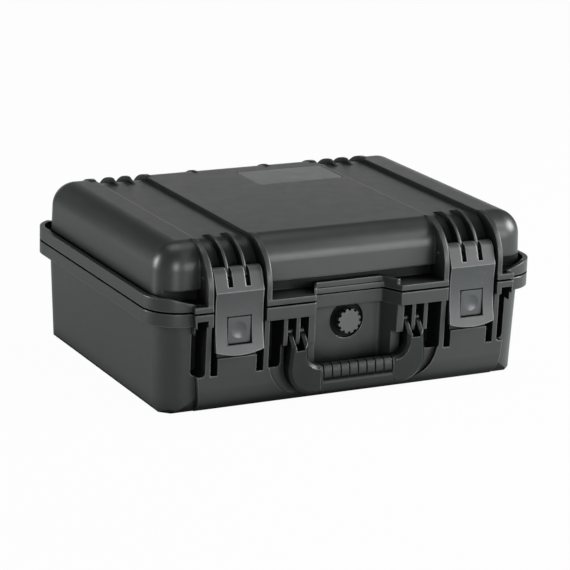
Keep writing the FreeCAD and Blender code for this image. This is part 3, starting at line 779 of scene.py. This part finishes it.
def grid_faces(rows: int, columns: int, wrap_rows: bool) -> np.ndarray:
    """Number the quads of a grid whose columns close on themselves.

    Args:
        rows: Points along the first parameter.
        columns: Points along the second parameter.
        wrap_rows: Whether the last row joins the first.

    Returns:
        Corner numbers, four to a quad.
    """
    down = np.arange(rows if wrap_rows else rows - 1)[:, None]
    along = np.arange(columns)[None, :]
    below = (down + 1) % rows
    beside = (along + 1) % columns
    near = (down * columns + along, below * columns + along)
    far = (below * columns + beside, down * columns + beside)
    return np.stack(np.broadcast_arrays(*near, *far), axis=-1).reshape(-1, 4)


def surface_object(name: str, points: np.ndarray, wrap_rows: bool) -> bpy.types.Object:
    """Make an object of a grid of points whose columns close on themselves.

    The rows of a grid that doesn't wrap are closed at both ends by a fan to the mean of the end row.

    Args:
        name: Name of the object.
        points: Places in metres, rows by columns by three.
        wrap_rows: Whether the last row joins the first.

    Returns:
        The new smooth-shaded object.
    """
    rows, columns, _ = points.shape
    places = points.reshape(-1, 3)
    quads = grid_faces(rows, columns, wrap_rows)
    fans = np.empty((0, 3), dtype=int)
    if not wrap_rows:
        ends = np.stack((points[0].mean(axis=0), points[-1].mean(axis=0)))
        around = np.arange(columns)
        following = (around + 1) % columns
        tip = np.full(columns, len(places))
        last_row = (rows - 1) * columns
        first = np.stack((tip, around, following), axis=-1)
        last = np.stack((tip + 1, last_row + following, last_row + around), axis=-1)
        fans = np.concatenate((first, last))
        places = np.concatenate((places, ends))
    mesh = bpy.data.meshes.new(name)
    mesh.from_pydata(places.tolist(), [], quads.tolist() + fans.tolist())
    mesh.update()
    if signed_volume(places, quads, fans) < 0.0:
        mesh.flip_normals()
    mesh.polygons.foreach_set("use_smooth", np.ones(len(mesh.polygons), dtype=bool))
    return linked(name, mesh)


def signed_volume(places: np.ndarray, quads: np.ndarray, fans: np.ndarray) -> float:
    """Measure the volume that a closed skin holds, by summing tetrahedra from the origin.

    Args:
        places: Points of the skin.
        quads: Four corners of each quad.
        fans: Three corners of each triangle.

    Returns:
        The volume, negative when the skin faces inwards.
    """
    corners = np.concatenate((quads[:, [0, 1, 2]], quads[:, [0, 2, 3]], fans))
    first, second, third = (places[corners[:, place]] for place in range(3))
    return float(np.einsum("ij,ij->i", first, np.cross(second, third)).sum() / 6.0)


def rounded_loop(half_x: float, half_y: float, radius: float, count: int) -> tuple[np.ndarray, np.ndarray]:
    """Walk round a rounded rectangle by equal steps of its length.

    Args:
        half_x: Half the width.
        half_y: Half the depth.
        radius: Corner radius.
        count: Number of points.

    Returns:
        The points and their outward unit normals, each count by two.
    """
    straight_x = half_x - radius
    straight_y = half_y - radius
    quarter = radius * QUARTER_TURN
    lengths = np.tile([2 * straight_y, quarter, 2 * straight_x, quarter], 2)
    ends = np.concatenate(([0.0], np.cumsum(lengths)))
    walk = np.linspace(0.0, ends[-1], count, endpoint=False)
    leg = np.searchsorted(ends, walk, side="right") - 1
    share = (walk - ends[leg]) / np.maximum(lengths[leg], SHORTEST)
    side = leg // 2
    on_line = leg % 2 == 0
    turn = (side + np.where(on_line, 0.0, share)) * QUARTER_TURN
    normal = np.stack((np.cos(turn), np.sin(turn)), axis=-1)
    start_x = np.array([1.0, 1.0, -1.0, -1.0])[side] * straight_x
    start_y = np.array([-1.0, 1.0, 1.0, -1.0])[side] * straight_y
    run_x = np.array([0.0, -2.0, 0.0, 2.0])[side] * straight_x
    run_y = np.array([2.0, 0.0, -2.0, 0.0])[side] * straight_y
    done = np.where(on_line, share, 1.0)
    centre = np.stack((start_x + run_x * done, start_y + run_y * done), axis=-1)
    return centre + normal * radius, normal


def eased(share: np.ndarray) -> np.ndarray:
    """Ease from nought to one by the smooth step, three squares less two cubes of the held share."""
    held = np.clip(share, 0.0, 1.0)
    return held * held * (3.0 - 2.0 * held)


def bell(share: np.ndarray) -> np.ndarray:
    """Fall from one to nought by a raised cosine, as the held share of the way goes from nought to one."""
    return 0.5 + 0.5 * np.cos(math.pi * np.clip(share, 0.0, 1.0))


def round_angles(count: int) -> np.ndarray:
    """Space a count of angles evenly round a full turn."""
    return np.linspace(0.0, FULL_TURN, count, endpoint=False)


def squared(wave: np.ndarray, power: Union[float, np.ndarray]) -> np.ndarray:
    """Draw a sine or cosine out towards a square wave, by a power below one of its size."""
    return np.sign(wave) * np.abs(wave) ** power


@dataclass(frozen=True)
class SealBead:
    """Rubber seal pressed into the lid's rim.

    Attributes:
        half_x: Half the width of its middle line.
        half_y: Half the depth of its middle line.
        corner: Corner radius of its middle line.
        half_width: Half the width of the bead.
        square: Power that squares the bead's section.
        steps: Points along the loop.
        turns: Points round the section.
    """

    half_x: float = 0.196
    half_y: float = 0.139
    corner: float = 0.0275
    half_width: float = 0.0022
    square: float = 0.7
    steps: int = 360
    turns: int = 20

    def build(self, wardrobe: Wardrobe) -> bpy.types.Object:
        """Build the bead.

        A point lies on the rounded loop, moved along the loop's outward normal by the cosine and along Z by
        the sine of the section's angle, each drawn out to a squarish oval by a power below one.

        Args:
            wardrobe: Materials.

        Returns:
            The bead.
        """
        low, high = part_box("lid_gasket")
        line, normal = rounded_loop(self.half_x, self.half_y, self.corner, self.steps)
        angle = round_angles(self.turns)
        out = squared(np.cos(angle), self.square) * self.half_width
        rise = squared(np.sin(angle), self.square) * (high.z - low.z) / 2.0
        points = np.empty((self.steps, self.turns, 3))
        points[..., :2] = line[:, None, :] + normal[:, None, :] * out[None, :, None]
        points[..., 2] = (low.z + high.z) / 2.0 + rise[None, :]
        bead = surface_object("seal_bead", points, True)
        wardrobe.dress(bead, Slot.SEAL)
        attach(bead, Body.LID.value)
        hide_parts("lid_gasket")
        return bead


@dataclass(frozen=True)
class GripSleeve:
    """Sleeve round the middle of the handle, with a row of finger grooves over its upper front.

    Attributes:
        upper_square: Power that squares the upper half of the oval section.
        lower_square: Power that squares the lower half.
        grooves: Number of grooves.
        groove_half: Half the width of a groove.
        groove_depth: Depth of a groove.
        band_low: Height over the sleeve's foot at which the grooved band begins.
        foot_blur: Height over which the grooves come in above the band's foot.
        foot_half: Half the width of the line along the band's foot.
        wrap: How sharply the grooves end behind the sleeve's top.
        lip: Length over which each end is drawn in.
        margin: Length of the plain stretch beyond the first and the last groove.
        steps: Points along the sleeve.
        turns: Points round the section.
    """

    upper_square: float = 0.62
    lower_square: float = 0.42
    grooves: int = 9
    groove_half: float = 0.0008
    groove_depth: float = 0.0015
    band_low: float = 0.0135
    foot_blur: float = 0.0008
    foot_half: float = 0.001
    wrap: float = 4.0
    lip: float = 0.0003
    margin: float = 0.003
    steps: int = 420
    turns: int = 132

    def build(self, wardrobe: Wardrobe) -> bpy.types.Object:
        """Build the sleeve.

        A point lies at an even step along X on a squared oval in Y and Z, rounder above than below. The
        oval shrinks by a quarter circle over the lip at each end, and by the grooves' depth where they are.

        Args:
            wardrobe: Materials.

        Returns:
            The sleeve.
        """
        low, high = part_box("handle_grip")
        half_y = (high.y - low.y) / 2.0
        half_z = (high.z - low.z) / 2.0
        length = high.x - low.x
        place = np.linspace(0.0, length, self.steps)
        from_end = np.minimum(place, length - place)
        gap = np.clip(from_end / self.lip, 0.0, 1.0)
        inset = (1.0 - np.sqrt(1.0 - (1.0 - gap) ** 2)) * self.lip
        angle = round_angles(self.turns)
        square = np.where(np.sin(angle) > 0.0, self.upper_square, self.lower_square)
        out_y = squared(np.cos(angle), square)
        out_z = squared(np.sin(angle), square)
        cut = self.cuts(place, from_end, angle, (out_z + 1.0) * half_z - self.band_low)
        shrink = inset[:, None] + cut * self.groove_depth
        points = np.empty((self.steps, self.turns, 3))
        points[..., 0] = low.x + place[:, None]
        points[..., 1] = (low.y + high.y) / 2.0 - (half_y - shrink) * out_y[None, :]
        points[..., 2] = (low.z + high.z) / 2.0 + (half_z - shrink) * out_z[None, :]
        sleeve = surface_object("grip_sleeve", points, False)
        end_points = np.zeros(len(sleeve.data.vertices) - cut.size)
        # The cut depth is kept on the points, and the grip's material paints the grooves in shade by it.
        marks = sleeve.data.attributes.new(GROOVE_MARK, "FLOAT", "POINT")
        marks.data.foreach_set("value", np.concatenate((cut.reshape(-1), end_points)))
        wardrobe.dress(sleeve, Slot.GRIP)
        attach(sleeve, Body.HANDLE.value)
        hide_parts("handle_grip")
        return sleeve

    def cuts(
        self, place: np.ndarray, from_end: np.ndarray, angle: np.ndarray, height: np.ndarray
    ) -> np.ndarray:
        """Work out how deep the grooves are at each point.

        A raised cosine stands at each groove's place along X, all over the front above the band's foot, and
        a second raised cosine over the height draws the line of that foot. The deeper of the two counts.

        Args:
            place: Distance along the sleeve.
            from_end: Distance from the nearer end.
            angle: Angle round the section, nought at the front.
            height: Height over the band's foot at each angle.

        Returns:
            Share of the full depth, steps by turns.
        """
        pitch = (place[-1] - 2.0 * self.margin) / (self.grooves - 1)
        offset = np.abs(((place - self.margin) / pitch + 0.5) % 1.0 - 0.5) * pitch
        pulse = bell(offset / self.groove_half)
        above = np.clip(height / self.foot_blur + 0.5, 0.0, 1.0)
        facing = np.clip(np.cos(angle) * self.wrap + 1.0, 0.0, 1.0)
        span = np.clip((from_end - self.margin) / self.groove_half + 1.0, 0.0, 1.0)
        foot = bell(np.abs(height) / self.foot_half) * (np.cos(angle) > 0.0)
        return np.maximum(pulse[:, None] * (above * facing)[None, :], span[:, None] * foot[None, :])


@dataclass(frozen=True)
class CrossPin:
    """Steel pin along X with domed ends.

    Attributes:
        node: Node whose box gives the pin's place.
        body: Body the pin rides on.
        dome: Share of the radius that the dome stands out.
        tip: Angle off the dome's pole at which its surface begins, closed by a flat fan.
        turns: Points round the pin.
        arc: Points over each dome.
    """

    node: str
    body: Body
    dome: float = 0.55
    tip: float = 0.06
    turns: int = 40
    arc: int = 10

    def build(self, wardrobe: Wardrobe) -> bpy.types.Object:
        """Build the pin.

        A profile of a quarter oval, a straight run and another quarter oval is carried round the pin's axis.

        Args:
            wardrobe: Materials.

        Returns:
            The pin.
        """
        low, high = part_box(self.node)
        radius = (high.z - low.z) / 2.0
        swing = np.linspace(self.tip, QUARTER_TURN, self.arc)
        bulge = radius * self.dome * (1.0 - np.cos(swing))
        first = np.stack((low.x + bulge, radius * np.sin(swing)), axis=-1)
        last = np.stack((high.x - bulge, radius * np.sin(swing)), axis=-1)[::-1]
        profile = np.concatenate((first, last))
        angle = round_angles(self.turns)
        points = np.empty((len(profile), self.turns, 3))
        points[..., 0] = profile[:, None, 0]
        points[..., 1] = (low.y + high.y) / 2.0 + profile[:, None, 1] * np.cos(angle)[None, :]
        points[..., 2] = (low.z + high.z) / 2.0 + profile[:, None, 1] * np.sin(angle)[None, :]
        pin = surface_object(f"{self.node}_drawn", points, False)
        wardrobe.dress(pin, Slot.PIN)
        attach(pin, self.body.value)
        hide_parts(self.node)
        return pin


@dataclass(frozen=True)
class CatchSpring:
    """Leaf spring of one latch, held flat on the lever and pushed in by the button in front of it.

    Attributes:
        side: Half of the case that the latch is on.
        thickness: Thickness of the strip.
        pad: Length of the flat that is held.
        knee: Length of the step from the pad to the leaf.
        set_back: How far the leaf stands behind the pad.
        leaf: Length of the straight leaf.
        hook_step: Length of the step from the leaf to the hook.
        square: Power that squares the strip's section.
        steps: Points along the strip.
        turns: Points round the section.
    """

    side: Side
    thickness: float = 0.0006
    pad: float = 0.006
    knee: float = 0.004
    set_back: float = 0.0019
    leaf: float = 0.03225
    hook_step: float = 0.002
    square: float = 0.25
    steps: int = 200
    turns: int = 32

    def build(self, wardrobe: Wardrobe) -> bpy.types.Object:
        """Build the spring.

        The middle line runs down from the pad, with Y eased by a smooth step at the knee and at the hook. A
        flat oval, squared by a power well below one, is carried along it at right angles to the line.

        Args:
            wardrobe: Materials.

        Returns:
            The spring.
        """
        node = f"{self.side.value}_catch_spring"
        low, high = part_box(node)
        middle_x = (low.x + high.x) / 2.0
        down = np.linspace(0.0, high.z - low.z, self.steps)
        hook_start = self.pad + self.knee + self.leaf
        hook_back = high.y - low.y - self.thickness - self.set_back
        line_y = low.y + self.thickness / 2.0 + self.set_back * eased((down - self.pad) / self.knee)
        line_y = line_y + hook_back * eased((down - hook_start) / self.hook_step)
        line_z = high.z - down
        slope_y, slope_z = np.gradient(line_y), np.gradient(line_z)
        length = np.hypot(slope_y, slope_z)
        angle = round_angles(self.turns)
        out_x = squared(np.cos(angle), self.square) * (high.x - low.x) / 2.0
        out = squared(np.sin(angle), self.square) * self.thickness / 2.0
        points = np.empty((self.steps, self.turns, 3))
        points[..., 0] = middle_x + out_x[None, :]
        points[..., 1] = line_y[:, None] - (slope_z / length)[:, None] * out[None, :]
        points[..., 2] = line_z[:, None] + (slope_y / length)[:, None] * out[None, :]
        spring = surface_object(f"{self.side.value}_catch_leaf", points, False)
        wardrobe.dress(spring, Slot.SPRING)
        latch = Body(f"{self.side.value}_latch")
        button = Body(f"{self.side.value}_button")
        held = Vector((middle_x, low.y, high.z - self.pad))
        pushed = Vector((middle_x, low.y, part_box(f"{self.side.value}_latch_button")[1].z))
        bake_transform(spring, latch.value, button.value, start=held, end=pushed)
        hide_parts(node)
        return spring


@dataclass(frozen=True)
class AreaLamp:
    """Soft white studio lamp.

    Attributes:
        name: Name of the lamp.
        place: Where it stands.
        size: Width and height of its face.
        power: Power in watts.
    """

    name: str
    place: Point
    size: Span
    power: float

    def build(self, aim: Point) -> bpy.types.Object:
        """Build the lamp.

        Args:
            aim: Point it faces.

        Returns:
            The lamp.
        """
        data = bpy.data.lights.new(self.name, "AREA")
        data.shape = "RECTANGLE"
        data.size, data.size_y = self.size
        data.energy = self.power
        lamp = linked(self.name, data)
        lamp.location = Vector(self.place)
        lamp.rotation_euler = (Vector(aim) - Vector(self.place)).to_track_quat("-Z", "Y").to_euler()
        return lamp


LAMPS = (
    AreaLamp("front_right", place=(0.95, -2.0, 0.34), size=(0.9, 0.66), power=17.0),
    AreaLamp("right_sheet", place=(1.7, -0.8, 0.9), size=(0.9, 0.9), power=60.0),
    AreaLamp("back_sheet", place=(0.6, 2.0, 0.45), size=(2.4, 0.6), power=3.9),
    AreaLamp("top_sheet", place=(0.0, 0.3, 1.9), size=(1.3, 0.9), power=9.0),
    AreaLamp("left_strip", place=(-1.75, 0.85, 0.45), size=(0.3, 0.9), power=27.0),
    AreaLamp("camera_strip", place=(-0.8, -2.0, 0.45), size=(0.35, 0.9), power=21.0),
)


@dataclass(frozen=True)
class Studio:
    """White studio with a pale floor, soft lamps and the photograph's camera.

    Attributes:
        azimuth: Turn of the camera about Z from the front, in degrees.
        elevation: Height of the camera's view, in degrees.
        roll: Turn of the picture, in degrees.
        camera_place: Where the camera stands.
        lens: Focal length in millimetres.
        sensor: Width of the camera's sensor in millimetres.
        far_clip: Distance past which the camera sees nothing.
        lamp_aim: Point that the lamps face.
        white: Linear colour of the backdrop.
        ambient: Strength of the light from all round.
        floor_half: Half the side of the floor.
        floor_pale: Linear colour of the floor.
        floor_grey: Linear colour of its faint mottling.
        mottle: Noise of the mottling.
        mottle_share: How much of the mottling shows.
        seen_share: Share of plain white in the floor that the camera sees, the rest being lit and shadowed.
        glow_tint: Linear colour of the floor in the case's own reflections.
        floor_glow: Brightness of the floor there.
        right_glow: Further brightness of the floor to the right of the middle.
        glow_span: Distances to the right at which that brightness begins and is whole.
    """

    azimuth: float = -27.24
    elevation: float = 15.97
    roll: float = 1.79
    camera_place: Point = (-1.1121, -2.1725, 0.7683)
    lens: float = 160.2
    sensor: float = 36.0
    far_clip: float = 50.0
    lamp_aim: Point = (0.0, 0.0, 0.08)
    white: Colour = (1.0, 1.0, 1.0)
    ambient: float = 0.04
    floor_half: float = 3.0
    floor_pale: Colour = (0.36, 0.36, 0.36)
    floor_grey: Colour = (0.32, 0.32, 0.32)
    mottle: Noise = Noise(300.0, 2.0)
    mottle_share: float = 0.04
    seen_share: float = 0.975
    glow_tint: Colour = (0.93, 1.0, 0.985)
    floor_glow: float = 0.22
    right_glow: float = 0.75
    glow_span: Span = (0.0, 0.22)

    def build(self) -> None:
        """Build camera, lamps, world and floor."""
        self.build_camera()
        for lamp in LAMPS:
            lamp.build(self.lamp_aim)
        self.build_world()
        self.build_floor()

    def build_camera(self) -> None:
        """Stand the camera where the photograph was taken from."""
        turn, rise, roll = (math.radians(value) for value in (self.azimuth, self.elevation, self.roll))
        right = Vector((math.cos(turn), math.sin(turn), 0.0))
        back = Vector((math.sin(turn) * math.cos(rise), -math.cos(turn) * math.cos(rise), math.sin(rise)))
        up = back.cross(right)
        across = right * math.cos(roll) + up * math.sin(roll)
        upward = up * math.cos(roll) - right * math.sin(roll)
        data = bpy.data.cameras.new("camera")
        data.lens = self.lens
        data.sensor_width = self.sensor
        data.clip_end = self.far_clip
        camera = linked("camera", data)
        turned = Matrix((across, upward, back)).transposed().to_4x4()
        camera.matrix_world = Matrix.Translation(Vector(self.camera_place)) @ turned
        bpy.context.scene.camera = camera

    def build_world(self) -> None:
        """Light the scene evenly from all round, and show white behind it."""
        world = bpy.data.worlds.new("studio")
        world.use_nodes = True
        bpy.context.scene.world = world
        graph = Graph(world.node_tree)
        seen = graph.node("ShaderNodeLightPath", {}, {}).outputs["Is Camera Ray"]
        colour = rgba(self.white)
        light = graph.node("ShaderNodeBackground", {}, {"Color": colour, "Strength": self.ambient})
        backdrop = graph.node("ShaderNodeBackground", {}, {"Color": colour, "Strength": 1.0})
        graph.surface(graph.blend(seen, light, backdrop), "ShaderNodeOutputWorld")

    def build_floor(self) -> None:
        """Lay a pale floor that shows white to the camera save for a faint contact shadow."""
        side = np.linspace(-self.floor_half, self.floor_half, 2)
        across, deep = np.meshgrid(side, side)
        places = np.stack((across, deep, np.zeros_like(across)), axis=-1).reshape(-1, 3)
        mesh = bpy.data.meshes.new("floor")
        mesh.from_pydata(places.tolist(), [], [(0, 1, 3, 2)])
        mesh.update()
        mesh.materials.append(self.floor_material())
        linked("floor", mesh)

    def floor_material(self) -> bpy.types.Material:
        """Make the floor's material: matt to light, near white to the camera, and a glow in reflections.

        Returns:
            The floor's material.
        """
        made, graph = blank_material("floor_white")
        path = graph.node("ShaderNodeLightPath", {}, {})
        seen = Signal(graph, path.outputs["Is Camera Ray"])
        mirrored = Signal(graph, path.outputs["Is Glossy Ray"])
        place = graph.place()
        faint = graph.noise(place, self.mottle) * self.mottle_share
        colour = graph.mix(faint, rgba(self.floor_pale), rgba(self.floor_grey))
        matt = graph.node("ShaderNodeBsdfDiffuse", {}, {"Color": colour})
        tint = graph.mix(seen, rgba(self.glow_tint), rgba(self.white))
        white = graph.node("ShaderNodeEmission", {}, {"Color": tint, "Strength": 1.0})
        rightward, _, _ = graph.parts(place)
        glow = self.floor_glow + rightward.ramp(*self.glow_span) * self.right_glow
        share = (seen * self.seen_share + mirrored * glow).clamped()
        graph.surface(graph.blend(share, matt, white))
        return made


@dataclass(frozen=True)
class HardCase:
    """The case: shells, seal, handle, latches, pins and springs.

    Attributes:
        seal: Seal in the lid's rim.
        grip: Sleeve on the handle.
    """

    seal: SealBead = SealBead()
    grip: GripSleeve = GripSleeve()

    def pins(self) -> tuple[CrossPin, ...]:
        """List the six pins of hinges, handle and latches."""
        kinds = (("hinge_pin", Body.BASE), ("handle_pin", Body.BASE), ("latch_pin", Body.LID))
        return tuple(CrossPin(f"{side.value}_{kind}", body) for side in Side for kind, body in kinds)

    def build(self, wardrobe: Wardrobe) -> None:
        """Dress the nodes and build the drawn pieces.

        Args:
            wardrobe: Materials.
        """
        wardrobe.dress_nodes()
        springs = tuple(CatchSpring(side) for side in Side)
        for maker in (self.seal, self.grip, *self.pins(), *springs):
            piece = maker.build(wardrobe)


def main() -> None:
    """Build the whole picture."""
    logging.basicConfig(level=logging.INFO)
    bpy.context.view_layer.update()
    bpy.context.scene.view_settings.view_transform = "Standard"
    HardCase().build(Wardrobe())
    Studio().build()


if __name__ == "__main__":
    main()
